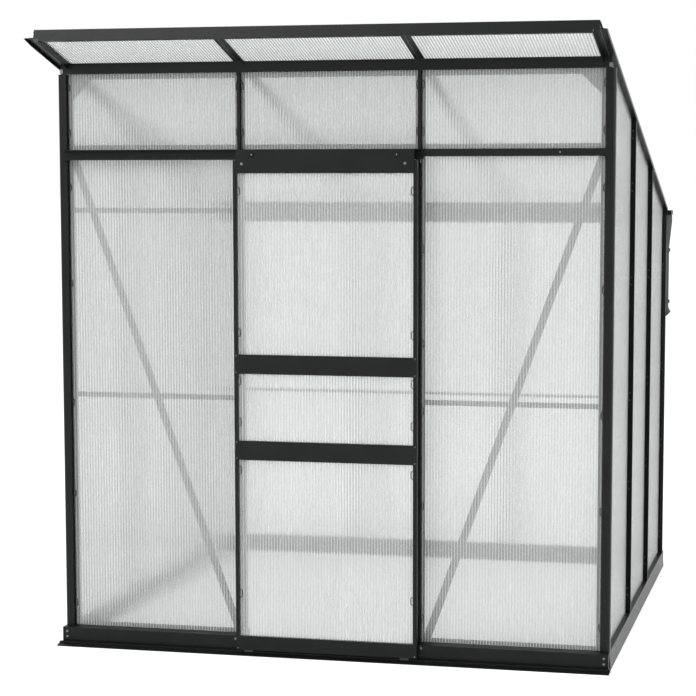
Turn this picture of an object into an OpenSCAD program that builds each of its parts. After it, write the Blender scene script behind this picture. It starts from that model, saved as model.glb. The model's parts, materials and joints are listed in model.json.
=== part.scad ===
// Pent-roof greenhouse: aluminium glazing bars on a folded base, twin-wall sheets and a sliding door.
// Millimetres. The front wall faces -Y, the roof falls towards +Y, and z = 0 is the ground.

/* [House] */
// Centre distance of the glazing bars across the front
bay_w = 622; // [560:1:760]
// Centre distance of the glazing bars along the sides
bay_d = 622; // [560:1:760]
// Height of the roof bars' underside at the front wall
front_h = 2013; // [1950:5:2400]
// Height of the roof bars' underside at the back wall
back_h = 1503; // [1400:5:1700]
// How far the roof stands out in front of the front wall
overhang = 258; // [120:2:400]
// How far the verges' tips stand out past the fascia
verge_past = 23; // [5:1:40]

/* [Glazing bars] */
// Visible width of a glazing bar's outer nose
nose_w = 10; // [8:1:20]
// Width of a glazing bar's inner flange, which the sheets rest on
flange_w = 33; // [26:1:44]
// Wall thickness of the bars' noses, webs and flanges
bar_t = 2; // [1.5:0.5:3]
// Depth of the sheets behind the outer face of the walls
recess = 18; // [10:1:24]
// Depth of the bolt channel's lips behind the flange
lip_d = 7; // [3:1:10]
// Outer size of a square corner post
post_w = 31; // [26:1:40]
// Radius of a corner post's outer edge
post_r = 13; // [3:1:14]
// Width of the fins on a corner post, which the sheets rest on
fin_w = 17; // [10:1:24]
// Thickness of the twin-wall sheets
sheet_t = 4; // [4:1:6]
// Gap between a sheet's edge and the web beside it
sheet_gap = 1; // [1:0.5:4]

/* [Rails] */
// Height of the transom's top above the ground
transom_z = 1719; // [1650:1:1800]
// Visible height of the transom
transom_h = 25; // [20:1:40]
// Visible height of the rail along the top of the front wall
top_rail_h = 37; // [24:1:50]
// Height of the lip along the outer edge of the verges
verge_h = 13; // [8:1:30]
// Visible height of the eaves rail
eaves_h = 27; // [22:1:50]
// How far the rails' inner legs reach past the visible nose
leg_reach = 17; // [10:1:30]
// Thickness of the rails' folded legs and the base
fold_t = 2.5; // [2:0.5:4]

/* [Base] */
// Height of the base
base_h = 60; // [40:1:100]
// How far the foot of the base stands out from the side walls
base_out = 4; // [2:1:10]
// How far the base's inner leg reaches above the base
base_reach = 13; // [6:1:30]
// How far the base stands out from the front and back walls
base_front_out = 28; // [22:1:29]
// How far the sill stands out from the front wall
sill_out = 68; // [62:1:100]
// How far the ends of the sill stand out past the side walls
sill_past = 7; // [0:1:20]
// Height of the sill where it meets the base
sill_h = 11; // [8:1:12]

/* [Door] */
// Gap from the front wall to the back of the door
door_gap = 34; // [34:1:40]
// Thickness of the door frame
door_t = 20; // [16:1:24]
// Width of the door
door_w = 631; // [600:1:640]
// Visible width of a door stile
stile_w = 13; // [12:1:20]
// Height of the underside of the door
door_z = 18; // [17:1:30]
// Height of the door's two middle rails
mid_rail_h = 65; // [40:1:80]
// Underside of the lower middle rail
rail_low_z = 673; // [500:1:760]
// Underside of the upper middle rail
rail_high_z = 966; // [880:1:1100]
// Height of the door's bottom rail
bottom_rail_h = 48; // [35:1:60]
// Height of the door's header plate
header_h = 79; // [70:1:90]
// Distance of each roller from the middle of the door
roller_x = 248; // [180:1:270]
// How far the door slides
door_travel = 590; // [400:5:600]

/* [Rainwater] */
// Width of the gutter
gutter_w = 76; // [60:1:100]
// Depth of the gutter
gutter_h = 18; // [12:1:21]
// Outer radius of the downpipe
pipe_r = 16; // [11:0.5:18]
// Length of the downpipe below the gutter
pipe_len = 378; // [300:5:600]

/* [Hidden] */
$fn = 48;
bays = 3;                                        // bays across the front and along each side
edge_w = 24;                                     // outermost bar's centre line to the wall's outer face
half_w = (bays * bay_w) / 2 + edge_w;            // middle of the house to the side walls' outer faces
depth = bays * bay_d + 2 * edge_w;               // front wall's outer face to back wall's outer face
verge_tip = overhang + verge_past;               // front wall's outer face to the verges' tips
front_y = (verge_tip - depth - gutter_w) / 2;    // front wall's outer face: the origin is mid-length
back_y = front_y + depth;
slope = atan((front_h - back_h) / depth);
seat = recess + sheet_t;                         // wall's outer face to the flange behind the sheets
lip_v = seat + bar_t + lip_d;                    // wall's outer face to the bolt channel's lips
leg_v = max(lip_v, post_w);                      // wall's outer face to the rails' inner legs
leg_end = leg_v + fold_t;
web_drop = max(15, leg_end * tan(slope) + 2 * fold_t);   // top of the front wall down to its rail's web
transom_low = transom_z - transom_h;
transom_web = transom_z - transom_h / 2;
top_low = front_h - top_rail_h;
eaves_low = back_h - eaves_h;
eaves_web = back_h - 8;
bar_x = [-bay_w / 2, bay_w / 2];
bar_y = [for (i = [1:bays - 1]) edge_w + i * bay_d];
base_foot = 44;                                  // width of the side bases' feet on the ground
big = 4000;

// Track and door, measured forwards from the front wall
track_h = 35;                                    // visible height of the track
track_reach = 27;                                // front wall to the face of the rail that the rollers ride on
track_t = 2.5;
track_low = transom_z - track_h;
rail_top = track_low + 8;                        // top of the rail that the rollers ride on
roller_r = 8;                                    // radius at the roller's groove
roller_rim = 11;
roller_b = 7.5;
run_gap = 0.3;                                   // between the roller's groove and its rail
roller_z = rail_top + roller_r;
axle_r = 3;
plate_t = 2.5;                                   // header plate, in front of the stiles
header_low = transom_z - 1 - header_h;
header_top = transom_z - 1;
stile_top = track_low - 1;
groove_d = 6;                                    // depth of the grooves that hold the door's sheets
groove_gap = 0.3;
door_front = door_gap + door_t;
door_sheet_v = door_gap + 8;                     // front wall to the back of the door's sheets
guide_rib_v = door_gap + 10;
guide_rib_top = door_z - 5;
guide_w = 30;
guide_t = 6;                                     // half the thickness of a guide

// Roof, in its own frame: s runs down the slope from the front wall, n stands up from the bars' underside
roof_nose = 14;                                  // sheets' upper face to the underside of a roof bar's nose
roof_n = bar_t + sheet_t + roof_nose + bar_t;
tip_n = 9;                                       // depth of a verge's tip below its flange
s_front = -overhang / cos(slope);
s_tip = -(verge_tip - tip_n * sin(slope)) / cos(slope);
s_wall = depth / cos(slope);                     // back wall's outer face
s_back = (depth + 20) / cos(slope);              // lower edge of the roof sheets
fascia_n = [-11, 28];
fascia_half = half_w - 22;
verge_in = 42;                                   // width of the verge's flange under the roof
verge_leg = 20;                                  // depth of the verge's inner leg and inner lip
verge_point = 42;                                // length over which the lip narrows towards the verge's tip
eaves_flange = 60;                               // width of the eaves rail's flange under the roof

brace_h = 18;
brace_t = 2;
brace_zs = [875, 1513];                          // middles of the horizontal braces
diagonal_w = 26;
gusset_leg = 128;
girt_z = 712;                                    // middle of the back wall's girt
girt_h = 10;
nose_end = 13;                                   // side walls' outer faces to the ends of the top rail's nose
threshold_z = 42;                                // top of the base in the doorway

frame_colour = [0.13, 0.14, 0.14];
sheet_colour = [0.84, 0.86, 0.86, 0.6];
pipe_colour = [0.16, 0.17, 0.17];
steel_colour = [0.6, 0.61, 0.62];

// ---------- profiles, u across and v inwards from the wall's outer face ----------

module glazing_bar_profile(nose_depth = 0) {
    translate([-nose_w / 2, nose_depth]) square([nose_w, bar_t]);
    translate([-bar_t / 2, nose_depth]) square([bar_t, seat - nose_depth + bar_t]);
    translate([-flange_w / 2, seat]) square([flange_w, bar_t]);
    for (side = [-1, 1])
        translate([side * nose_w / 2 - bar_t / 2, seat]) square([bar_t, bar_t + lip_d]);
}

// Square tube with a rounded outer edge, from its outer corner
module post_tube_profile() {
    module rounded(size, r) {
        rest = size - r;
        translate([r, r]) circle(r);
        translate([r, 0]) square([rest, size]);
        translate([0, r]) square([size, rest]);
    }
    difference() {
        rounded(post_w, post_r);
        translate([fold_t, fold_t]) rounded(post_w - 2 * fold_t, post_r - fold_t);
    }
}

// Fins that the sheets rest on: one beside the front or back sheets, one beside the side sheets
module wall_fin_profile() {
    translate([post_w, seat]) square([fin_w, bar_t]);
}

module side_fin_profile() {
    translate([seat, post_w]) square([bar_t, fin_w]);
}

// Rail with a nose from z_low to z_high, a web from nose to leg, and an inner leg
module rail_profile(z_low, z_high, web_z, leg_low, leg_high) {
    translate([0, z_low]) square([bar_t, z_high - z_low]);
    translate([0, web_z]) square([leg_end, fold_t]);
    translate([leg_v, leg_low]) square([fold_t, leg_high - leg_low]);
}

// ---------- placing ----------

// A profile drawn as [v, z] becomes a rail along X behind the front wall's face
module along_front(x_from, x_to) {
    translate([x_from, front_y, 0]) rotate([90, 0, 90]) linear_extrude(x_to - x_from) children();
}

module along_back(x_from, x_to) {
    translate([x_to, back_y, 0]) rotate([90, 0, -90]) linear_extrude(x_to - x_from) children();
}

// A profile drawn as [v, z] becomes a rail along Y inside the left or right wall's face
module along_side(side, y_from, y_to) {
    scale([side, 1, 1]) translate([half_w, front_y + y_to, 0])
        mirror([1, 0, 0]) rotate([90, 0, 0]) linear_extrude(y_to - y_from) children();
}

module front_bar(x, z_from, z_to) {
    translate([x, front_y, z_from]) linear_extrude(z_to - z_from) glazing_bar_profile();
}

module back_bar(x, z_from, z_to) {
    translate([x, back_y, z_from]) mirror([0, 1, 0]) linear_extrude(z_to - z_from) glazing_bar_profile();
}

module roof_frame() {
    translate([0, front_y, front_h]) rotate([-slope, 0, 0]) children();
}

// Everything above the plane that lies n over the roof bars' underside
module above_roof(n) {
    roof_frame() translate([-big / 2, -big / 2, n]) cube([big, 2 * big, big]);
}

// ---------- base ----------

// Inner leg that stands behind the sheets, and the ledge that carries posts, bars and sheets
module base_inner_profile(leg_low) {
    translate([0, base_h - fold_t]) square([leg_end, fold_t]);
    translate([leg_v, leg_low]) square([fold_t, base_h + base_reach - leg_low]);
}

// Outer face that leans out to the ground
module base_skirt_profile() {
    toe = 3;
    polygon([
        [0, base_h], [-base_out, toe], [-base_out, 0],
        [fold_t - base_out, 0], [fold_t - base_out, toe], [fold_t, base_h]
    ]);
}

// Front side of the base: an upright in front of the wall, closed at both ends, a ledge and a leg
module base_cross() {
    along_front(-half_w, half_w) {
        translate([-base_front_out, 0]) square([fold_t, base_h]);
        translate([-base_front_out, base_h - fold_t]) square([base_front_out, fold_t]);
    }
    for (x = [-half_w, half_w - fold_t])
        along_front(x, x + fold_t) translate([-base_front_out, 0]) square([base_front_out, base_h]);
    along_front(leg_end - half_w, half_w - leg_end) base_inner_profile(0);
}

// The base is lower in the doorway, behind the upright
module base_front() {
    door_half = (bay_w - flange_w) / 2;
    color(frame_colour) {
        difference() {
            base_cross();
            along_front(-door_half, door_half)
                translate([fold_t - base_front_out, threshold_z]) square([base_front_out + leg_end, base_h]);
        }
        along_front(-door_half, door_half)
            translate([-base_front_out, threshold_z - fold_t]) square([base_front_out + leg_end, fold_t]);
    }
}

module base_back() {
    color(frame_colour) translate([0, front_y + back_y, 0]) mirror([0, 1, 0]) base_cross();
}

// The skirt and ledge run from corner to corner, and the leg and foot between the front and back bases
module base_side(side) {
    color(frame_colour) {
        along_side(side, 0, depth) {
            base_skirt_profile();
            translate([0, base_h - fold_t]) square([leg_end, fold_t]);
        }
        along_side(side, post_w + fin_w, depth - post_w - fin_w) base_inner_profile(base_h - fold_t);
        along_side(side, leg_end, depth - leg_end)
            translate([-base_out, 0]) square([base_foot, fold_t]);
    }
}

// Sill in front of the base, with the rib that guides the foot of the door
module door_sill() {
    toe = 3;
    function ramp_z(v) = sill_h - (sill_h - toe) * (v - base_front_out) / (sill_out - base_front_out);
    color(frame_colour) along_front(-half_w - sill_past, half_w + sill_past) {
        polygon([
            [-base_front_out, 0], [-base_front_out, sill_h], [-sill_out, toe], [-sill_out, 0],
            [-sill_out + fold_t, 0], [-sill_out + fold_t, toe - 1.5],
            [-base_front_out - fold_t, sill_h - 2.5], [-base_front_out - fold_t, 0]
        ]);
        translate([-guide_rib_v - 1, ramp_z(guide_rib_v) - 1])
            square([2, guide_rib_top - ramp_z(guide_rib_v) + 1]);
    }
}

// ---------- posts and bars ----------

module post(side, at_back) {
    post_top = at_back ? eaves_low : top_low;
    side_top = post_top - leg_reach;
    wall_parts = at_back ? [[base_h, post_top]] : [[base_h, transom_low], [transom_z, post_top]];
    color(frame_colour)
        translate([side * half_w, at_back ? back_y : front_y, 0]) scale([-side, at_back ? -1 : 1, 1]) {
            translate([0, 0, base_h]) linear_extrude(post_top - base_h) post_tube_profile();
            translate([0, 0, base_h]) linear_extrude(side_top - base_h) side_fin_profile();
            for (part = wall_parts)
                translate([0, 0, part[0]]) linear_extrude(part[1] - part[0]) wall_fin_profile();
        }
}

module door_jamb(x) {
    color(frame_colour) front_bar(x, base_h, transom_low);
}

module upper_bars() {
    color(frame_colour) for (x = bar_x) front_bar(x, transom_z, top_low);
}

module side_bars(side) {
    color(frame_colour) difference() {
        for (y = bar_y)
            translate([side * half_w, front_y + y, base_h]) rotate([0, 0, side * 90])
                linear_extrude(front_h) glazing_bar_profile();
        above_roof(-fold_t);
    }
}

module back_wall_bars() {
    color(frame_colour) for (x = bar_x) back_bar(x, base_h, eaves_low);
}

// ---------- rails ----------

rail_half = half_w - post_w;
flange_x = half_w - verge_in - 1;                 // just inside the inner edges of the verges' flanges

module transom() {
    color(frame_colour) along_front(-rail_half, rail_half)
        rail_profile(transom_low, transom_z, transom_web, transom_web, transom_z + leg_reach);
}

module door_track() {
    track_left = half_w - 20;
    track_right = bay_w / 2 + 1.4 * nose_w;
    color(frame_colour) along_front(-track_left, track_right) {
        translate([-track_t, track_low]) square([track_t, track_h]);
        translate([-track_reach, track_low]) square([track_reach, track_t]);
        translate([-track_reach, track_low]) square([track_t, rail_top - track_low]);
        translate([-track_reach - 1, transom_z - track_t]) square([track_reach + 1, track_t]);
    }
}

// What the roof bars and the verges' flanges rest on is cut to the slope of the roof
module roof_cut() {
    above_roof(0);
    for (side = [-1, 1]) intersection() {
        above_roof(-fold_t);
        translate([side * (flange_x + half_w / 2) - half_w / 2, front_y - 1, back_h - eaves_h])
            cube([half_w, depth + 2, front_h]);
    }
}

module front_top_rail() {
    color(frame_colour) difference() {
        union() {
            along_front(-rail_half, rail_half)
                rail_profile(top_low, front_h, front_h - web_drop, top_low - leg_reach, front_h);
            along_front(nose_end - half_w, half_w - nose_end) translate([0, top_low]) square([bar_t, top_rail_h]);
        }
        roof_cut();
    }
}

module eaves_rail() {
    color(frame_colour) difference() {
        union() {
            along_back(-rail_half, rail_half)
                rail_profile(eaves_low, back_h, eaves_web, eaves_low - 2 * leg_reach, back_h + leg_end);
            along_back(-half_w, half_w) translate([0, eaves_low]) square([bar_t, eaves_h]);
            roof_frame() translate([1 - flange_x, (depth - leg_v - eaves_flange) / cos(slope), -fold_t])
                cube([2 * flange_x - 2, eaves_flange / cos(slope), fold_t]);
        }
        roof_cut();
    }
}

// Sloping rail: a flange under the roof, a lip that narrows to a tip past the fascia, a leg inside
// the sheets, and an inner lip where the roof stands out in front of the wall
module verge(side) {
    s_leg = (leg_end + bar_t + 1 + verge_leg * sin(slope)) / cos(slope);
    color(frame_colour) scale([side, 1, 1]) roof_frame() {
        translate([half_w - verge_in, s_front, -fold_t]) cube([verge_in, s_wall - s_front, fold_t]);
        translate([half_w, 0, 0]) rotate([90, 0, 90]) linear_extrude(fold_t)
            polygon([
                [s_front, 0], [s_tip, -tip_n], [s_front + verge_point, -verge_h], [s_wall, -verge_h], [s_wall, 0]
            ]);
        translate([half_w - leg_end, s_leg, -verge_leg]) cube([fold_t, s_wall - 2 * s_leg, verge_leg]);
        translate([half_w - verge_in, s_front, -verge_leg]) cube([fold_t, -s_front - 1 / cos(slope), verge_leg]);
    }
}

// ---------- roof ----------

module roof_bar_profile() {
    translate([-nose_w / 2, roof_n - bar_t]) square([nose_w, bar_t]);
    translate([-bar_t / 2, 0]) square([bar_t, roof_n]);
    translate([-flange_w / 2, 0]) square([flange_w, bar_t]);
}

module roof_bars() {
    color(frame_colour) roof_frame()
        for (i = [0:bays])
            translate([(i - bays / 2) * bay_w, s_back, 0]) rotate([90, 0, 0])
                linear_extrude(s_back - s_front - fold_t) roof_bar_profile();
}

module fascia() {
    top_return = 18;
    low_return = 12;
    color(frame_colour) roof_frame() translate([0, s_front, 0]) {
        translate([-fascia_half, 0, 0]) cube([2 * fascia_half, fold_t, fascia_n[1]]);
        translate([-fascia_half, 0, fascia_n[1] - fold_t]) cube([2 * fascia_half, top_return, fold_t]);
        translate([-flange_x, 0, fascia_n[0]]) cube([2 * flange_x, fold_t, -fascia_n[0]]);
        translate([-flange_x, 0, fascia_n[0]]) cube([2 * flange_x, low_return, fold_t]);
    }
}

// ---------- bracing ----------

brace_out = half_w - seat - bar_t - 1;            // as far as a post's side fin leaves room

// Flat bars bolted to the backs of the posts and jambs
module front_braces() {
    x_in = (bay_w - nose_w) / 2;
    color(frame_colour) for (side = [-1, 1], z = brace_zs) scale([side, 1, 1])
        translate([x_in, front_y + leg_v, z - brace_h / 2]) cube([brace_out - x_in, brace_t, brace_h]);
}

// Flat bars from the back of the transom down to the base's leg
module front_diagonals() {
    x_top = brace_out - diagonal_w / 2;
    x_low = bay_w / 2 + 0.8 * diagonal_w;
    z_top = transom_web + 4;
    z_low = base_h + base_reach / 2;
    run = x_top - x_low;
    rise = z_top - z_low;
    color(frame_colour) for (side = [-1, 1]) scale([side, 1, 1])
        translate([x_low, front_y + leg_end, z_low]) rotate([0, -atan(rise / run), 0])
            translate([0, 0, -diagonal_w / 2]) cube([norm([run, rise]), brace_t, diagonal_w]);
}

module corner_gussets() {
    z = front_h - max(web_drop, (leg_end + brace_t) * tan(slope) + fold_t / cos(slope) + 1);
    color(frame_colour) for (side = [-1, 1]) scale([side, 1, 1]) translate([0, front_y + leg_end + brace_t, 0])
        rotate([90, 0, 0]) linear_extrude(brace_t)
            polygon([[brace_out, z], [brace_out - gusset_leg, z], [brace_out, z - gusset_leg]]);
}

// Flat bar along the backs of the back wall's bars
module back_girt() {
    color(frame_colour) along_back(-rail_half, rail_half)
        translate([leg_v, girt_z - girt_h / 2]) square([brace_t, girt_h]);
}

// ---------- rainwater ----------

pipe_x = half_w - 10;
pipe_y = back_y + gutter_w / 2;
gutter_z = eaves_low;
gutter_half = half_w + 17;

module gutter() {
    wall = 2;
    color(frame_colour) difference() {
        translate([-gutter_half, back_y, gutter_z]) cube([2 * gutter_half, gutter_w, gutter_h]);
        translate([wall - gutter_half, back_y + wall, gutter_z + wall])
            cube([2 * (gutter_half - wall), gutter_w - 2 * wall, gutter_h]);
        translate([pipe_x, pipe_y, gutter_z - 1]) cylinder(r = pipe_r - wall, h = wall + 2);
    }
}

// Long funnel, pipe with two collars, and an elbow that turns away from the house
module downpipe() {
    wall = 2;
    head_r = pipe_r + 11;
    head_h = 28;
    taper_end = 136;
    collar_h = 14;
    collar_t = 5;
    bend = pipe_r + 36;
    collar_tops = [-taper_end - 4, -pipe_len + 24];
    color(pipe_colour) translate([pipe_x, pipe_y, gutter_z]) {
        rotate_extrude() polygon([
            [pipe_r - wall, 0], [head_r, 0], [head_r, -head_h], [pipe_r, -taper_end],
            [pipe_r, -pipe_len], [pipe_r - wall, -pipe_len]
        ]);
        for (z = collar_tops) translate([0, 0, z - collar_h]) difference() {
            cylinder(r = pipe_r + collar_t, h = collar_h);
            translate([0, 0, -1]) cylinder(r = pipe_r - wall / 2, h = collar_h + 2);
        }
        translate([bend, 0, -pipe_len]) rotate([90, 180, 0])
            rotate_extrude(angle = 45) translate([bend, 0]) difference() {
                circle(pipe_r);
                circle(pipe_r - wall);
            }
    }
}

// ---------- sheets ----------

bar_clear = bar_t / 2 + sheet_gap;
edge_in = bay_w / 2 - bar_clear;

module front_sheet(side) {
    x_in = bay_w / 2 + bar_clear;
    x_out = half_w - post_w - sheet_gap;
    color(sheet_colour) scale([side, 1, 1])
        translate([x_in, front_y + recess, base_h + 1]) cube([x_out - x_in, sheet_t, transom_low + 8 - base_h]);
}

module upper_sheets() {
    z_low = transom_web + fold_t + 1;
    z_high = front_h - web_drop - 2;
    x_out = half_w - post_w - sheet_gap;
    color(sheet_colour) translate([0, front_y + recess, z_low]) {
        translate([-edge_in, 0, 0]) cube([2 * edge_in, sheet_t, z_high - z_low]);
        for (side = [-1, 1]) scale([side, 1, 1])
            translate([bay_w / 2 + bar_clear, 0, 0])
                cube([x_out - bay_w / 2 - bar_clear, sheet_t, z_high - z_low]);
    }
}

module side_sheets(side) {
    edges = concat([post_w + sheet_gap], bar_y, [depth - post_w - sheet_gap]);
    color(sheet_colour) difference() {
        for (i = [0:bays - 1]) {
            y_from = edges[i] + (i == 0 ? 0 : bar_clear);
            y_to = edges[i + 1] - (i == bays - 1 ? 0 : bar_clear);
            translate([side * (half_w - recess - sheet_t / 2) - sheet_t / 2, front_y + y_from, base_h + 1])
                cube([sheet_t, y_to - y_from, front_h]);
        }
        above_roof(-fold_t - 1);
    }
}

module back_wall_sheets() {
    z_high = eaves_web - 2;
    x_out = half_w - post_w - sheet_gap;
    color(sheet_colour) translate([0, back_y - recess - sheet_t, base_h + 1]) {
        translate([-edge_in, 0, 0]) cube([2 * edge_in, sheet_t, z_high - base_h - 1]);
        for (side = [-1, 1]) scale([side, 1, 1])
            translate([bay_w / 2 + bar_clear, 0, 0])
                cube([x_out - bay_w / 2 - bar_clear, sheet_t, z_high - base_h - 1]);
    }
}

module roof_sheets() {
    color(sheet_colour) roof_frame() for (i = [0:bays - 1])
        translate([(i - bays / 2) * bay_w + bar_clear, s_front + fold_t + 1, bar_t])
            cube([bay_w - 2 * bar_clear, s_back - s_front - fold_t - 1, sheet_t]);
}

// ---------- door, drawn closed ----------

// A stile or rail of the door: size across and the sides that hold a sheet, as [v, across]
module door_box(height, groove_low, groove_high) {
    wall = 2;
    groove = sheet_t + 2 * groove_gap;
    difference() {
        translate([-door_front, 0]) square([door_t, height]);
        if (groove_low)
            translate([-door_sheet_v - sheet_t - groove_gap, -1]) square([groove, groove_d + 1]);
        if (groove_high)
            translate([-door_sheet_v - sheet_t - groove_gap, height - groove_d]) square([groove, groove_d + 1]);
        if (height > 4 * groove_d)
            translate([-door_front + wall, groove_d + wall])
                square([door_t - 2 * wall, height - 2 * groove_d - 2 * wall]);
    }
}

stile_in = door_w / 2 - stile_w;

module door_stile(side) {
    color(frame_colour) scale([side, 1, 1]) translate([door_w / 2, front_y, door_z])
        mirror([1, 0, 0]) linear_extrude(stile_top - door_z) rotate([0, 0, 90]) mirror([0, 1, 0])
            door_box(stile_w, false, true);
}

module door_rail(z, height, groove_low, groove_high) {
    translate([0, 0, z]) along_front(-stile_in, stile_in) door_box(height, groove_low, groove_high);
}

module door_header() {
    plate_half = stile_in + 3.5;
    color(frame_colour) difference() {
        union() {
            door_rail(header_low, stile_top - header_low, true, false);
            translate([-plate_half, front_y - door_front - plate_t, header_low])
                cube([2 * plate_half, plate_t, header_top - header_low]);
        }
        for (side = [-1, 1])
            translate([side * roller_x, front_y - door_front - plate_t - 1, roller_z])
                rotate([-90, 0, 0]) cylinder(r = axle_r + 0.1, h = plate_t + 2);
    }
}

module door_middle_rails() {
    color(frame_colour) for (z = [rail_low_z, rail_high_z]) door_rail(z, mid_rail_h, true, true);
}

module door_bottom_rail() {
    color(frame_colour) door_rail(door_z, bottom_rail_h, false, true);
}

module door_sheets() {
    grip = groove_d - 1;
    x_half = stile_in + grip;
    spans = [
        [door_z + bottom_rail_h, rail_low_z],
        [rail_low_z + mid_rail_h, rail_high_z],
        [rail_high_z + mid_rail_h, header_low]
    ];
    color(sheet_colour) for (span = spans)
        translate([-x_half, front_y - door_sheet_v - sheet_t, span[0] - grip])
            cube([2 * x_half, sheet_t, span[1] - span[0] + 2 * grip]);
}

// Grooved roller on a bolt that passes through the header plate
module door_rollers() {
    rail_mid = track_reach - track_t / 2;
    head_h = 4;
    head_r = 6;
    bolt_len = door_front + plate_t - rail_mid + roller_b / 2;
    half_groove = track_t / 2 + 0.6;
    color(steel_colour) for (side = [-1, 1])
        translate([side * roller_x, front_y - door_front - plate_t, roller_z]) rotate([-90, 0, 0]) {
            translate([0, 0, -head_h]) cylinder(r = head_r, h = head_h, $fn = 6);
            cylinder(r = axle_r, h = bolt_len);
            translate([0, 0, bolt_len - roller_b]) rotate_extrude() polygon([
                [axle_r - 1, 0], [roller_rim, 0], [roller_rim, roller_b / 2 - half_groove],
                [roller_r - run_gap, roller_b / 2 - half_groove],
                [roller_r - run_gap, roller_b / 2 + half_groove],
                [roller_rim, roller_b / 2 + half_groove], [roller_rim, roller_b], [axle_r - 1, roller_b]
            ]);
        }
}

// Glides under the bottom rail, one each side of the sill's rib
module door_guides() {
    slot = 5;
    foot_z = 10.5;
    color(pipe_colour) for (side = [-1, 1])
        translate([side * (door_w / 2 - stile_w - guide_w) - guide_w / 2, front_y - guide_rib_v - guide_t, foot_z])
            difference() {
                cube([guide_w, 2 * guide_t, door_z - foot_z]);
                translate([-1, guide_t - slot / 2, -1]) cube([guide_w + 2, slot, door_z - foot_z - 1]);
            }
}

base_front();
base_back();
base_side(-1);  // base_left
base_side(1);  // base_right
door_sill();
post(-1, false);  // post_front_left
post(1, false);  // post_front_right
post(-1, true);  // post_back_left
post(1, true);  // post_back_right
door_jamb(bar_x[0]);  // door_jamb_left
door_jamb(bar_x[1]);  // door_jamb_right
upper_bars();
side_bars(-1);  // left_wall_bars
side_bars(1);  // right_wall_bars
back_wall_bars();
transom();
door_track();
front_top_rail();
eaves_rail();
verge(-1);  // verge_left
verge(1);  // verge_right
roof_bars();
fascia();
front_braces();
front_diagonals();
corner_gussets();
back_girt();
gutter();
downpipe();
front_sheet(-1);  // front_sheet_left
front_sheet(1);  // front_sheet_right
upper_sheets();
side_sheets(-1);  // left_wall_sheets
side_sheets(1);  // right_wall_sheets
back_wall_sheets();
roof_sheets();
door_stile(-1);  // door_stile_left
door_stile(1);  // door_stile_right
door_header();
door_middle_rails();
door_bottom_rail();
door_sheets();
door_rollers();
door_guides();
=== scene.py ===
# Looks of the pent-roof greenhouse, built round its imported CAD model. Metres; +Z is up, the door faces -Y.
import json
import math

import bpy
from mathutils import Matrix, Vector


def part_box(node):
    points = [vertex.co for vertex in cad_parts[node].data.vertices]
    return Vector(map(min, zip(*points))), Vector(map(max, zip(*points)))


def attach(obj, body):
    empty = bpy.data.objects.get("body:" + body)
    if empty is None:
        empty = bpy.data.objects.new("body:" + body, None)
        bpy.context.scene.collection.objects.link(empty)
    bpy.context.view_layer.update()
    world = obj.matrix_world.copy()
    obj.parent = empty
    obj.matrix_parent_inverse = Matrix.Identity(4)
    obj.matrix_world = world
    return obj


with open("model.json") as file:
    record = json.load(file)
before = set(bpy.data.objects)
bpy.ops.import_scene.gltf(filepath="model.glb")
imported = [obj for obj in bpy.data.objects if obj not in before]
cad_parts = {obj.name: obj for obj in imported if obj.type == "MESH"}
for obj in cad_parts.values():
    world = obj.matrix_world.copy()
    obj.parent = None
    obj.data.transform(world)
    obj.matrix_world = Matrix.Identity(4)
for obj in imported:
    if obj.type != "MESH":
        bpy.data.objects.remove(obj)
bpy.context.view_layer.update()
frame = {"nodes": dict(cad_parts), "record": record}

MM = 0.001
UP = Vector((0, 0, 1))

# ---------- places taken from the CAD model ----------
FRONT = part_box("post_front_left")[0].y
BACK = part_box("post_back_left")[1].y
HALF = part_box("post_front_right")[1].x
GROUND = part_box("base_front")[0].z
BASE_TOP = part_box("door_jamb_left")[0].z
TRANSOM_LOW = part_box("door_jamb_left")[1].z
UPPER_LOW, UPPER_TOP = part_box("upper_bars")[0].z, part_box("upper_bars")[1].z
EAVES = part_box("back_wall_bars")[1].z
ROOF_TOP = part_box("front_top_rail")[1].z        # underside of the roof bars at the front wall

# sizes of the CAD model's sections, repeated here as numbers
FLANGE = 16.5 * MM                              # half the width of a glazing bar's flange
NOSE = 5 * MM                                   # half the width of its nose
WEB = MM                                        # half the thickness of its web
POST = 31 * MM                                  # width of a corner post
RECESS = 18 * MM                                # outer face of a wall to its sheets
ROOF_SHEET_TOP = 6 * MM                         # above the roof bars' underside
ROOF_NOSE_TOP = 22 * MM                         # the same, to the outer face of their noses

PITCH = 10 * MM                                 # from one rib of a sheet to the next
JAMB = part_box("door_jamb_right")[1].x - FLANGE  # middle of a door jamb and of the bars in line with it
SIDE_BARS = (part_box("left_wall_bars")[0].y + FLANGE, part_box("left_wall_bars")[1].y - FLANGE)


# ---------- camera ----------
def make_camera():
    data = bpy.data.cameras.new("camera")
    data.sensor_width = 36
    data.lens = 105.14
    data.shift_x = -0.0541
    data.shift_y = 0.0584
    data.clip_end = 500
    camera = bpy.data.objects.new("camera", data)
    camera.location = (1.7155, FRONT - 6.6013, 1.6053)
    camera.rotation_euler = (math.pi / 2 - 0.1006, 0, 0.2261)
    bpy.context.scene.collection.objects.link(camera)
    bpy.context.scene.camera = camera


make_camera()


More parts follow.
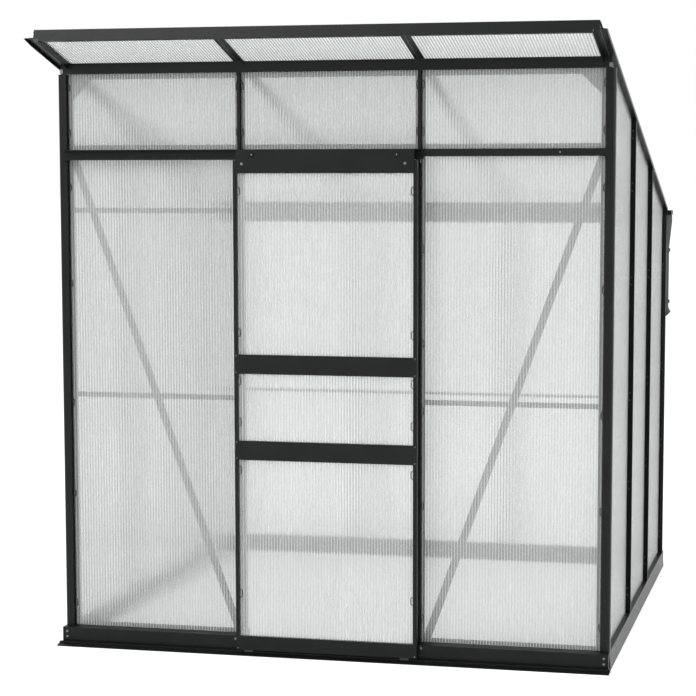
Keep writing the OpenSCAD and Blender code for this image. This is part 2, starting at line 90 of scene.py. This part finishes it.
# ---------- materials ----------
class Nodes:
    """Short calls for a material's node tree."""

    def __init__(self, name):
        self.material = bpy.data.materials.new(name)
        self.material.use_nodes = True
        self.tree = self.material.node_tree
        self.shader = self.tree.nodes["Principled BSDF"]

    def add(self, kind, inputs=(), **settings):
        node = self.tree.nodes.new(kind)
        for key, value in settings.items():
            setattr(node, key, value)
        for key, value in dict(inputs).items():
            if isinstance(value, bpy.types.NodeSocket):
                self.tree.links.new(value, node.inputs[key])
            else:
                node.inputs[key].default_value = value
        return node

    def link(self, output, key):
        self.tree.links.new(output, self.shader.inputs[key])

    def set(self, **values):
        for key, value in values.items():
            self.shader.inputs[key.replace("_", " ")].default_value = value

    def math(self, operation, *values):
        return self.add("ShaderNodeMath", enumerate(values), operation=operation).outputs[0]

    def vector(self, operation, *values, result=0, **named):
        inputs = {**dict(enumerate(values)), **named}
        return self.add("ShaderNodeVectorMath", inputs, operation=operation).outputs[result]

    def position(self):
        return self.add("ShaderNodeTexCoord").outputs["Object"]

    def noise(self, scale, detail=2.0, vector=None):
        vector = vector or self.position()
        return self.add("ShaderNodeTexNoise", {"Vector": vector, "Scale": scale, "Detail": detail}).outputs[0]

    def ramp(self, value, low, high, at=(0.3, 0.7)):
        node = self.add("ShaderNodeValToRGB", {"Fac": value})
        for stop, colour, place in zip(node.color_ramp.elements, (low, high), at):
            stop.color = (*colour, 1)
            stop.position = place
        return node.outputs[0]

    def bump(self, height, distance, strength=1.0):
        node = self.add("ShaderNodeBump", {"Height": height, "Distance": distance, "Strength": strength})
        self.link(node.outputs[0], "Normal")


def powder_coat():
    m = Nodes("anthracite_powder_coat")
    m.link(m.ramp(m.noise(9, 4), (0.0030, 0.0035, 0.0034), (0.0055, 0.0062, 0.0061)), "Base Color")
    rough = m.add("ShaderNodeMapRange", {"Value": m.noise(60), "To Min": 0.30, "To Max": 0.42})
    m.link(rough.outputs[0], "Roughness")
    m.bump(m.noise(900, 3), 0.00012, 0.6)
    m.shader.inputs["Specular IOR Level"].default_value = 0.17
    return m.material


def zinc():
    m = Nodes("zinc_plate")
    m.link(m.ramp(m.noise(220), (0.11, 0.115, 0.12), (0.22, 0.225, 0.23)), "Base Color")
    m.set(Metallic=0.7, Roughness=0.42)
    m.bump(m.noise(1500), 0.00004)
    return m.material


def spring_steel():
    m = Nodes("spring_steel")
    m.link(m.ramp(m.noise(150), (0.018, 0.020, 0.020), (0.040, 0.043, 0.043)), "Base Color")
    m.set(Metallic=0.6, Roughness=0.4)
    return m.material


def moulded_plastic():
    m = Nodes("moulded_plastic")
    m.link(m.ramp(m.noise(25), (0.020, 0.021, 0.022), (0.032, 0.033, 0.034)), "Base Color")
    m.set(Roughness=0.55)
    m.bump(m.noise(700), 0.0001, 0.5)
    return m.material


def rubber():
    m = Nodes("black_rubber")
    m.link(m.ramp(m.noise(40), (0.002, 0.002, 0.002), (0.004, 0.004, 0.004)), "Base Color")
    m.set(Roughness=0.7)
    m.shader.inputs["Specular IOR Level"].default_value = 0.1
    m.bump(m.noise(500), 0.0001, 0.5)
    return m.material


def twin_wall(name, flute, rib_colours_with_painted_light, sharp, clear, ior, swell, grain, upper=None):
    """Sheet whose flutes, along the given direction, spread what is behind them sideways.

    Along the ribs the base colour carries the ribs' lines together with painted light: bright lines painted
    as the ribs' highlights, and darker painted shade beside them. With upper, the side facing that way is
    painted almost plain, so this painted shade shows only on the side facing away.
    """
    m = Nodes(name)
    facing = m.add("ShaderNodeNewGeometry").outputs["Normal"]
    place = m.position()
    across = m.vector("CROSS_PRODUCT", Vector(flute), facing)
    distance = m.vector("DOT_PRODUCT", place, across, result="Value")
    turn = m.math("MULTIPLY", distance, 2 * math.pi / PITCH)
    cells = m.math("MULTIPLY", distance, 3100.0)
    fine = m.add("ShaderNodeTexWhiteNoise", {"W": cells}, noise_dimensions="1D")
    jitter = m.math("MULTIPLY", m.math("SUBTRACT", fine.outputs["Value"], 0.5), grain)
    tilt = m.math("ADD", m.math("MULTIPLY", m.math("SINE", turn), swell), jitter)
    leaning = m.vector("ADD", facing, m.vector("SCALE", across, Scale=tilt))
    m.link(m.vector("NORMALIZE", leaning), "Normal")
    stretched = m.vector("MULTIPLY", place, Vector((14, 14, 1.2)))
    cloudy = m.ramp(m.noise(1, 3, stretched), (0.97, 0.98, 0.975), (0.99, 1.0, 0.995))
    # Lines at the ribs' pitch, painted in the base colour: the bright part on the ribs is a painted
    # highlight, and the darker colour between them is painted shade.
    rib_lines_with_painted_light = m.math("POWER", m.math("MULTIPLY_ADD", m.math("COSINE", turn), 0.5, 0.5), sharp)
    # The side facing upper is painted almost plain, as if lit; the lines' painted shade stays on the side
    # facing away.
    if upper:
        above = m.vector("DOT_PRODUCT", facing, upper, result="Value")
        painted_lit_top_mask = m.math("GREATER_THAN", above, 0.0)
        rib_lines_with_painted_light = m.math("MAXIMUM", rib_lines_with_painted_light, m.math("MULTIPLY", painted_lit_top_mask, 0.75))
    rib_colour_with_painted_light = m.ramp(rib_lines_with_painted_light, rib_colours_with_painted_light[0], rib_colours_with_painted_light[1], (0.0, 1.0))
    m.link(m.vector("MULTIPLY", cloudy, rib_colour_with_painted_light), "Base Color")
    m.set(Roughness=0.06, IOR=ior)
    m.shader.inputs["Transmission Weight"].default_value = clear
    return m.material


def rib_material():
    m = Nodes("sheet_ribs")
    m.link(m.ramp(m.noise(30), (0.92, 0.93, 0.93), (0.97, 0.98, 0.98)), "Base Color")
    m.set(Roughness=0.4, IOR=1.1)
    m.shader.inputs["Transmission Weight"].default_value = 0.85
    return m.material


def roof_corners():
    """Lower and upper corner of the roof sheets at the front and at the back, as (y, z)."""
    vertices = frame["nodes"]["roof_sheets"].data.vertices
    points = sorted({(round(v.co.y, 5), round(v.co.z, 5)) for v in vertices})
    front, back = sorted(points[:2], key=lambda p: p[1]), sorted(points[-2:], key=lambda p: p[1])
    return [Vector((0, *corner)) for corner in (*front, *back)]


FALL = (roof_corners()[2] - roof_corners()[0]).normalized()
RISE = Vector((0, -FALL.z, FALL.y))


def on_roof(x, s, n):
    """A point s down the slope from the front wall and n above the roof bars' underside."""
    return Vector((x, FRONT, ROOF_TOP)) + FALL * s + RISE * n


COAT = powder_coat()
ZINC = zinc()
SPRING = spring_steel()
PLASTIC = moulded_plastic()
RUBBER = rubber()
WHITE = (1, 1, 1)
# Bright lines painted along the ribs as their highlights; the ribs themselves are real.
WALL_SHEET = twin_wall("twin_wall_sheet", UP, ((0.78, 0.79, 0.79), WHITE),
                       sharp=1.4, clear=0.75, ior=1.3, swell=0.30, grain=0.12)
# The same wall sheet for the side walls, painted lighter between the ribs so that the side walls look
# brighter: painted light.
SIDE_SHEET_PAINTED_LIGHTER = twin_wall("twin_wall_side_sheet_painted_lighter", UP, ((0.88, 0.89, 0.89), WHITE),
                       sharp=1.4, clear=0.70, ior=1.3, swell=0.20, grain=0.12)
# Narrow dark lines painted between the ribs as painted shade, only on the side facing down; the side facing
# up is painted almost plain.
ROOF_SHEET = twin_wall("twin_wall_roof_sheet", FALL, ((0.38, 0.40, 0.40), WHITE),
                       sharp=0.5, clear=0.82, ior=1.08, swell=0.05, grain=0.0, upper=RISE)
RIB = rib_material()

FINISH = {"frame_coating": COAT, "pipe_plastic": PLASTIC, "roller_steel": ZINC, "twin_wall_sheet": WALL_SHEET}
# The side walls take the copy of the wall sheet that is painted lighter.
SPECIAL = {"roof_sheets": ROOF_SHEET, "left_wall_sheets": SIDE_SHEET_PAINTED_LIGHTER, "right_wall_sheets": SIDE_SHEET_PAINTED_LIGHTER}
for part in frame["record"]["subparts"]:
    finish = FINISH[part["material_slot"]]
    finish = SPECIAL.get(part["node"], finish)
    mesh = frame["nodes"][part["node"]].data
    mesh.materials.clear()
    mesh.materials.append(finish)


# ---------- mesh building ----------
class Mesh:
    """Collects like small shapes into one mesh."""

    def __init__(self):
        self.points = []
        self.faces = []

    def add(self, points, faces):
        start = len(self.points)
        self.points += [Vector(p) for p in points]
        self.faces += [[start + i for i in face] for face in faces]

    def prism(self, lower, upper):
        """A closed solid between two outlines with as many points."""
        n = len(lower)
        sides = [[i, (i + 1) % n, n + (i + 1) % n, n + i] for i in range(n)]
        self.add([*lower, *upper], [list(range(n))[::-1], [n + i for i in range(n)], *sides])

    def box(self, low, high):
        (x0, y0, z0), (x1, y1, z1) = low, high
        ring = [(x0, y0), (x1, y0), (x1, y1), (x0, y1)]
        self.prism([(x, y, z0) for x, y in ring], [(x, y, z1) for x, y in ring])

    def tube(self, rings):
        """A closed skin over rings of as many points each, with flat ends."""
        sides = len(rings[0])
        faces = []
        for k in range(len(rings) - 1):
            for i in range(sides):
                j = (i + 1) % sides
                faces.append([k * sides + i, k * sides + j, (k + 1) * sides + j, (k + 1) * sides + i])
        last = (len(rings) - 1) * sides
        points = [p for ring in rings for p in ring]
        self.add(points, [list(range(sides))[::-1], [last + i for i in range(sides)], *faces])

    def lathe(self, centre, axis, profile, sides=16):
        """Turns a profile of (radius, height) round an axis."""
        centre, axis = Vector(centre), Vector(axis).normalized()
        u = axis.orthogonal().normalized()
        v = axis.cross(u)
        turns = [2 * math.pi * i / sides for i in range(sides)]
        spokes = [u * math.cos(t) + v * math.sin(t) for t in turns]
        self.tube([[centre + axis * height + spoke * radius for spoke in spokes]
                   for radius, height in profile])

    def wire(self, path, radius, sides=6):
        """A round wire along a path of points."""
        path = [Vector(p) for p in path]
        turns = [2 * math.pi * k / sides for k in range(sides)]
        rings = []
        side = (path[1] - path[0]).orthogonal().normalized()
        for i, point in enumerate(path):
            along = (path[min(i + 1, len(path) - 1)] - path[max(i - 1, 0)]).normalized()
            side = (side - along * side.dot(along)).normalized()
            other = along.cross(side)
            rings.append([point + (side * math.cos(t) + other * math.sin(t)) * radius for t in turns])
        self.tube(rings)

    def done(self, name, material, body, smooth=False):
        mesh = bpy.data.meshes.new(name)
        mesh.from_pydata(self.points, [], self.faces)
        mesh.materials.append(material)
        mesh.update()
        for polygon in mesh.polygons:
            polygon.use_smooth = smooth
        piece = bpy.data.objects.new(name, mesh)
        bpy.context.scene.collection.objects.link(piece)
        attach(piece, body)
        return piece


def spans(node, axis):
    """The low and high ends of each separate sheet of a node, along one axis."""
    values = sorted({round(v.co[axis], 5) for v in frame["nodes"][node].data.vertices})
    return list(zip(values[::2], values[1::2]))


# ---------- ribs between the two skins of the sheets ----------
RIB_T = 0.5 * MM                                # thickness of a rib
SKIN = 0.35 * MM                                # from a sheet's face to its ribs


def steps(low, high):
    """The ribs' places between two ends, on whole multiples of the pitch."""
    first, last = math.ceil((low + RIB_T) / PITCH), math.floor((high - RIB_T) / PITCH)
    return [k * PITCH for k in range(first, last + 1)]


def ribs_facing_front(node, name, body):
    low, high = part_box(node)
    mesh = Mesh()
    columns = spans(node, 0)
    rows = spans(node, 2)
    for z0, z1 in rows:
        for x0, x1 in columns:
            for x in steps(x0, x1):
                mesh.box((x - RIB_T / 2, low.y + SKIN, z0 + MM), (x + RIB_T / 2, high.y - SKIN, z1 - MM))
    mesh.done(name, RIB, body)


def ribs_facing_side(node, name):
    low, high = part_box(node)
    tops = {round(v.co.y, 5): 0.0 for v in frame["nodes"][node].data.vertices}
    for v in frame["nodes"][node].data.vertices:
        tops[round(v.co.y, 5)] = max(tops[round(v.co.y, 5)], v.co.z)
    first, last = min(tops), max(tops)
    fall = (tops[last] - tops[first]) / (last - first)
    mesh = Mesh()
    for y0, y1 in spans(node, 1):
        for y in steps(y0, y1):
            top = tops[first] + fall * (y - first) - MM
            mesh.box((low.x + SKIN, y - RIB_T / 2, low.z + MM), (high.x - SKIN, y + RIB_T / 2, top))
    mesh.done(name, RIB, "frame")


def ribs_of_roof():
    low_front, high_front, low_back, high_back = roof_corners()
    up = RISE * SKIN
    corners = [low_front + up, low_back + up, high_back - up, high_front - up]
    mesh = Mesh()
    for x0, x1 in spans("roof_sheets", 0):
        for x in steps(x0, x1):
            near, far = Vector((x - RIB_T / 2, 0, 0)), Vector((x + RIB_T / 2, 0, 0))
            mesh.prism([corner + near for corner in corners], [corner + far for corner in corners])
    mesh.done("ribs_roof", RIB, "frame")


ribs_facing_front("front_sheet_left", "ribs_front_left", "frame")
ribs_facing_front("front_sheet_right", "ribs_front_right", "frame")
ribs_facing_front("upper_sheets", "ribs_upper", "frame")
ribs_facing_front("back_wall_sheets", "ribs_back", "frame")
ribs_facing_front("door_sheets", "ribs_door", "door")
ribs_facing_side("left_wall_sheets", "ribs_left")
ribs_facing_side("right_wall_sheets", "ribs_right")
ribs_of_roof()


# ---------- gaskets, clips and bolts ----------
class Wall:
    """Places on a wall: along it, up it, and in from its outer face."""

    def __init__(self, name, origin, along, inward):
        self.name = name
        self.origin, self.along, self.inward = Vector(origin), Vector(along), Vector(inward)

    def at(self, a, z, v):
        return self.origin + self.along * a + self.inward * v + UP * z

    def block(self, mesh, a0, a1, z0, z1, v0, v1):
        ring = [(a0, v0), (a1, v0), (a1, v1), (a0, v1)]
        mesh.prism([self.at(a, z0, v) for a, v in ring], [self.at(a, z1, v) for a, v in ring])


FRONT_WALL = Wall("front", (0, FRONT, 0), (1, 0, 0), (0, 1, 0))
BACK_WALL = Wall("back", (0, BACK, 0), (1, 0, 0), (0, -1, 0))
LEFT_WALL = Wall("left", (-HALF, 0, 0), (0, 1, 0), (1, 0, 0))
RIGHT_WALL = Wall("right", (HALF, 0, 0), (0, 1, 0), (-1, 0, 0))


def roof_height(y):
    return ROOF_TOP + FALL.z / FALL.y * (y - FRONT)


def bars_of(wall):
    """Each glazing bar as (place along the wall, bottom, top)."""
    if wall is FRONT_WALL:
        jambs = [(x, BASE_TOP, TRANSOM_LOW) for x in (-JAMB, JAMB)]
        return jambs + [(x, UPPER_LOW, UPPER_TOP) for x in (-JAMB, JAMB)]
    if wall is BACK_WALL:
        return [(x, BASE_TOP, EAVES) for x in (-JAMB, JAMB)]
    return [(y, BASE_TOP, roof_height(y) - 8 * MM) for y in SIDE_BARS]


def posts_of(wall):
    """Each corner post's inner edge as (place, direction to the sheets, bottom, top)."""
    if wall is FRONT_WALL:
        return [(side * (HALF - POST), -side, z0, z1) for side in (-1, 1)
                for z0, z1 in ((BASE_TOP, TRANSOM_LOW), (UPPER_LOW, UPPER_TOP))]
    if wall is BACK_WALL:
        return [(side * (HALF - POST), -side, BASE_TOP, EAVES) for side in (-1, 1)]
    return [(FRONT + POST, 1, BASE_TOP, roof_height(FRONT + POST) - 45 * MM),
            (BACK - POST, -1, BASE_TOP, roof_height(BACK - POST) - 45 * MM)]


def gaskets(wall):
    mesh = Mesh()
    for a, z0, z1 in bars_of(wall):
        for side in (-1, 1):
            near, far = a + side * 1.1 * WEB, a + side * NOSE
            wall.block(mesh, min(near, far), max(near, far), z0 + MM, z1 - MM, 2.05 * MM, RECESS - 0.05 * MM)
    for a, side, z0, z1 in posts_of(wall):
        ends = sorted((a + side * 0.05 * MM, a + side * 1.6 * MM))
        wall.block(mesh, *ends, z0 + MM, z1 - MM, 12 * MM, RECESS - 0.05 * MM)
    mesh.done("gaskets_" + wall.name, RUBBER, "frame")


def roof_gaskets():
    mesh = Mesh()
    lines = Mesh()
    sheets = spans("roof_sheets", 0)
    middles = [(left[1] + right[0]) / 2 for left, right in zip(sheets, sheets[1:])]
    top, bottom = -0.262, 2.0                   # ends of the gaskets, down the slope from the front wall
    for x in middles:
        for side in (-1, 1):
            near, far = sorted((x + side * 1.1 * WEB, x + side * NOSE))
            low, high = ROOF_SHEET_TOP + 0.05 * MM, 19.9 * MM
            ring = [(near, low), (far, low), (far, high), (near, high)]
            mesh.prism([on_roof(a, top, n) for a, n in ring], [on_roof(a, bottom, n) for a, n in ring])
    mesh.done("gaskets_roof", RUBBER, "frame")
    channels = [(x - 3 * MM, -0.4 * MM, 1.85) for x in middles]
    channels += [(side * (HALF - 21 * MM), -3.0 * MM, -0.012) for side in (-1, 1)]
    for x, low, end in channels:
        near, far, high = x - 0.8 * MM, x + 0.8 * MM, low + 0.5 * MM
        ring = [(near, low), (far, low), (far, high), (near, high)]
        lines.prism([on_roof(a, top, n) for a, n in ring], [on_roof(a, end, n) for a, n in ring])
    lines.done("bar_channels", ZINC, "frame")


CLIP_R = 1.4                                    # radius of the clips' wire, in mm like their paths
ON_SHEET = RECESS / MM - CLIP_R - 0.05          # depth at which the wire lies on a sheet
ON_ROOF_SHEET = (ROOF_NOSE_TOP - ROOF_SHEET_TOP) / MM - CLIP_R - 0.05


def clip(mesh, at, a, side, along, start, deep):
    """A bent spring wire that hooks under a nose at a and presses on the sheet beside it."""
    path = [(-1.5, -13.5, start), (3, -13.5, (start + deep) / 2), (8, -9.5, deep),
            (8, 9.5, deep), (3, 13.5, (start + deep) / 2), (-1.5, 13.5, start)]
    mesh.wire([at(a + side * x * MM, along + y * MM, v * MM) for x, y, v in path], CLIP_R * MM)


# heights of the clips, in metres, chosen to agree with the photo's front wall and repeated on the others
OUTER_CLIPS = (1.592, 1.260, 0.847, 0.527, 0.140)
JAMB_CLIPS = (1.389, 1.072, 0.847, 0.526, 0.143)
UPPER_CLIPS = (1.930, 1.777)
DOOR_CLIPS = (1.580, 1.105, 0.942, 0.802, 0.638, 0.212)
ROOF_CLIPS = (-0.12, 0.35, 0.85, 1.35, 1.80)    # down the slope from the front wall


def clips(wall):
    mesh = Mesh()
    edges = [(a + side * NOSE, side, z0, z1) for a, z0, z1 in bars_of(wall) for side in (-1, 1)]
    for a, side, z0, z1 in edges + posts_of(wall):
        doorway = wall is FRONT_WALL and abs(a) < JAMB and z1 < UPPER_LOW
        if doorway:
            continue
        heights = JAMB_CLIPS if wall is FRONT_WALL and JAMB < a < HALF / 2 else OUTER_CLIPS
        for z in heights + UPPER_CLIPS:
            if z0 + 15 * MM < z < z1 - 15 * MM:
                clip(mesh, wall.at, a, side, z, 8, ON_SHEET)
    mesh.done("clips_" + wall.name, SPRING, "frame", smooth=True)


def door_clips():
    mesh = Mesh()
    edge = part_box("door_middle_rails")[1].x
    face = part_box("door_sheets")[0].y

    def at(x, z, v):
        return Vector((x, face - RECESS + v, z))

    for side in (-1, 1):
        for z in DOOR_CLIPS:
            clip(mesh, at, side * edge, -side, z, 14, ON_SHEET)
    mesh.done("clips_door", SPRING, "door", smooth=True)


def roof_clips():
    mesh = Mesh()

    def at(x, s, v):
        return on_roof(x, s, ROOF_NOSE_TOP - v)

    for x0, x1 in spans("roof_sheets", 0):
        for x, side in ((x0 - 2 * WEB + NOSE, 1), (x1 + 2 * WEB - NOSE, -1)):
            for s in ROOF_CLIPS:
                clip(mesh, at, x, side, s, 5, ON_ROOF_SHEET)
    mesh.done("clips_roof", SPRING, "frame", smooth=True)


def bolt(mesh, centre, axis, radius=5.5, height=3.0):
    """A domed head, its radius and height in mm."""
    r, h = radius * MM, height * MM
    profile = [(r, -0.3 * MM), (r, 0.25 * h), (0.86 * r, 0.62 * h), (0.55 * r, 0.9 * h), (0.12 * r, h)]
    mesh.lathe(centre, axis, profile, 14)


def frame_bolts():
    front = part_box("base_front")[0].y
    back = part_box("base_back")[1].y
    mesh = Mesh()
    for side in (-1, 1):
        corner, end = side * (HALF - 16 * MM), side * (HALF + 0.5 * MM)
        for z in (GROUND + 45 * MM, GROUND + 26 * MM):
            bolt(mesh, (corner, front, z), (0, -1, 0), 4.5)
            bolt(mesh, (corner, back, z), (0, 1, 0), 4.5)
            bolt(mesh, (end, FRONT + 12 * MM, z), (side, 0, 0), 4.0, 2.5)
            bolt(mesh, (end, BACK - 12 * MM, z), (side, 0, 0), 4.0, 2.5)
        bolt(mesh, (side * (JAMB + 14 * MM), front, GROUND + 49 * MM), (0, -1, 0), 5.0)
        bolt(mesh, (side * (HALF - 179 * MM), FRONT, TRANSOM_LOW + 13 * MM), (0, -1, 0), 3.0, 1.2)
        verge = Vector((side * (HALF - 42.2 * MM), FRONT - 250 * MM, ROOF_TOP + 53 * MM))
        bolt(mesh, verge, (-side, 0, 0), 4.0, 2.5)
    brace_low, brace_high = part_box("front_braces")
    for side in (-1, 1):
        for z in (brace_low.z + 9 * MM, brace_high.z - 9 * MM):
            for x in (JAMB, HALF - 40 * MM):
                bolt(mesh, (side * x, brace_high.y, z), (0, 1, 0), 5.0)
    nut_and_thread = [(3.2 * MM, 0), (3.2 * MM, 4 * MM), (2 * MM, 4 * MM), (2 * MM, 10 * MM)]
    for x in (JAMB - 15 * MM, JAMB + 6 * MM):
        mesh.lathe((x, FRONT - 10 * MM, TRANSOM_LOW - 20 * MM), (0, 0, 1), nut_and_thread, 10)
    near, far = HALF - 21 * MM, HALF - 10 * MM
    for x0, x1 in ((near, far), (-far, -near)):
        mesh.box((x0, FRONT - 3 * MM, ROOF_TOP - 34 * MM), (x1, FRONT - 0.2 * MM, ROOF_TOP - 20 * MM))
    mesh.done("bolts_frame", ZINC, "frame", smooth=False)
    seam = Mesh()
    seam.box((-JAMB + 5.2 * MM, front - 0.4 * MM, GROUND + 12 * MM),
             (-JAMB + 6.5 * MM, front + 0.2 * MM, BASE_TOP))
    seam.done("base_seam", RUBBER, "frame")


def door_bolts():
    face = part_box("door_header")[0].y
    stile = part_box("door_stile_right")[0].y
    mesh = Mesh()
    for x, z in ((-JAMB + 27 * MM, TRANSOM_LOW - 24 * MM), (JAMB - 36 * MM, TRANSOM_LOW - 23 * MM)):
        bolt(mesh, (x, face, z), (0, -1, 0), 5.0)
    for z in (1.027, 0.971, 0.733, 0.678, 0.024):
        for side in (-1, 1):
            bolt(mesh, (side * (JAMB - 2 * MM), stile, z), (0, -1, 0), 2.2, 1.2)
    caps = Mesh()
    cap = [(7.5 * MM, 0), (7.5 * MM, 3.5 * MM), (6.2 * MM, 4.9 * MM), (2 * MM, 5.4 * MM)]
    dot = [(2.2 * MM, 4 * MM), (2.2 * MM, 5.8 * MM), (1 * MM, 6.2 * MM)]
    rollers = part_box("door_rollers")
    roller_z = (rollers[0].z + rollers[1].z) / 2
    for side in (-1, 1):
        axle = (side * (rollers[1].x - 11 * MM), face, roller_z)
        caps.lathe(axle, (0, -1, 0), cap, 20)
        mesh.lathe(axle, (0, -1, 0), dot, 12)
    mesh.done("bolts_door", ZINC, "door")
    caps.done("bolt_caps", COAT, "door")


for wall in (FRONT_WALL, BACK_WALL, LEFT_WALL, RIGHT_WALL):
    gaskets(wall)
    clips(wall)
roof_gaskets()
roof_clips()
door_clips()
frame_bolts()
door_bolts()


# ---------- stage ----------
def make_floor():
    """A plain floor that shows as the photo's white, and lights the object no more for it."""
    bpy.ops.mesh.primitive_plane_add(size=400, location=(0, 0, GROUND - 0.5 * MM))
    floor = bpy.context.object
    floor.name = "floor"
    m = Nodes("floor")
    m.set(Roughness=0.9)
    m.shader.inputs["Base Color"].default_value = (0.94, 0.94, 0.94, 1)
    m.shader.inputs["Emission Color"].default_value = (1, 1, 1, 1)
    path = m.add("ShaderNodeLightPath").outputs
    seen = m.math("MAXIMUM", path["Is Camera Ray"], path["Is Glossy Ray"])
    seen = m.math("MAXIMUM", seen, path["Is Transmission Ray"])
    m.link(m.math("MULTIPLY", seen, 0.22), "Emission Strength")
    m.shader.inputs["Specular IOR Level"].default_value = 0.0
    floor.data.materials.append(m.material)


def make_world():
    world = bpy.data.worlds.new("studio")
    bpy.context.scene.world = world
    world.use_nodes = True
    background = world.node_tree.nodes["Background"]
    background.inputs["Color"].default_value = (1, 1, 1, 1)
    background.inputs["Strength"].default_value = 1.0


def make_lamp(name, place, aim, size, power):
    data = bpy.data.lights.new(name, "AREA")
    data.shape = "RECTANGLE"
    data.size, data.size_y = size
    data.energy = power
    lamp = bpy.data.objects.new(name, data)
    lamp.location = place
    lamp.rotation_euler = (Vector(aim) - Vector(place)).to_track_quat("-Z", "Y").to_euler()
    bpy.context.scene.collection.objects.link(lamp)


make_floor()
make_world()
make_lamp("key", (-3.5, -6.0, 5.0), (0, 0, 1), (4, 4), 260)
make_lamp("side", (6.0, -1.5, 4.0), (0.5, 0, 1), (3, 4), 220)

bpy.context.scene.view_settings.view_transform = "Standard"
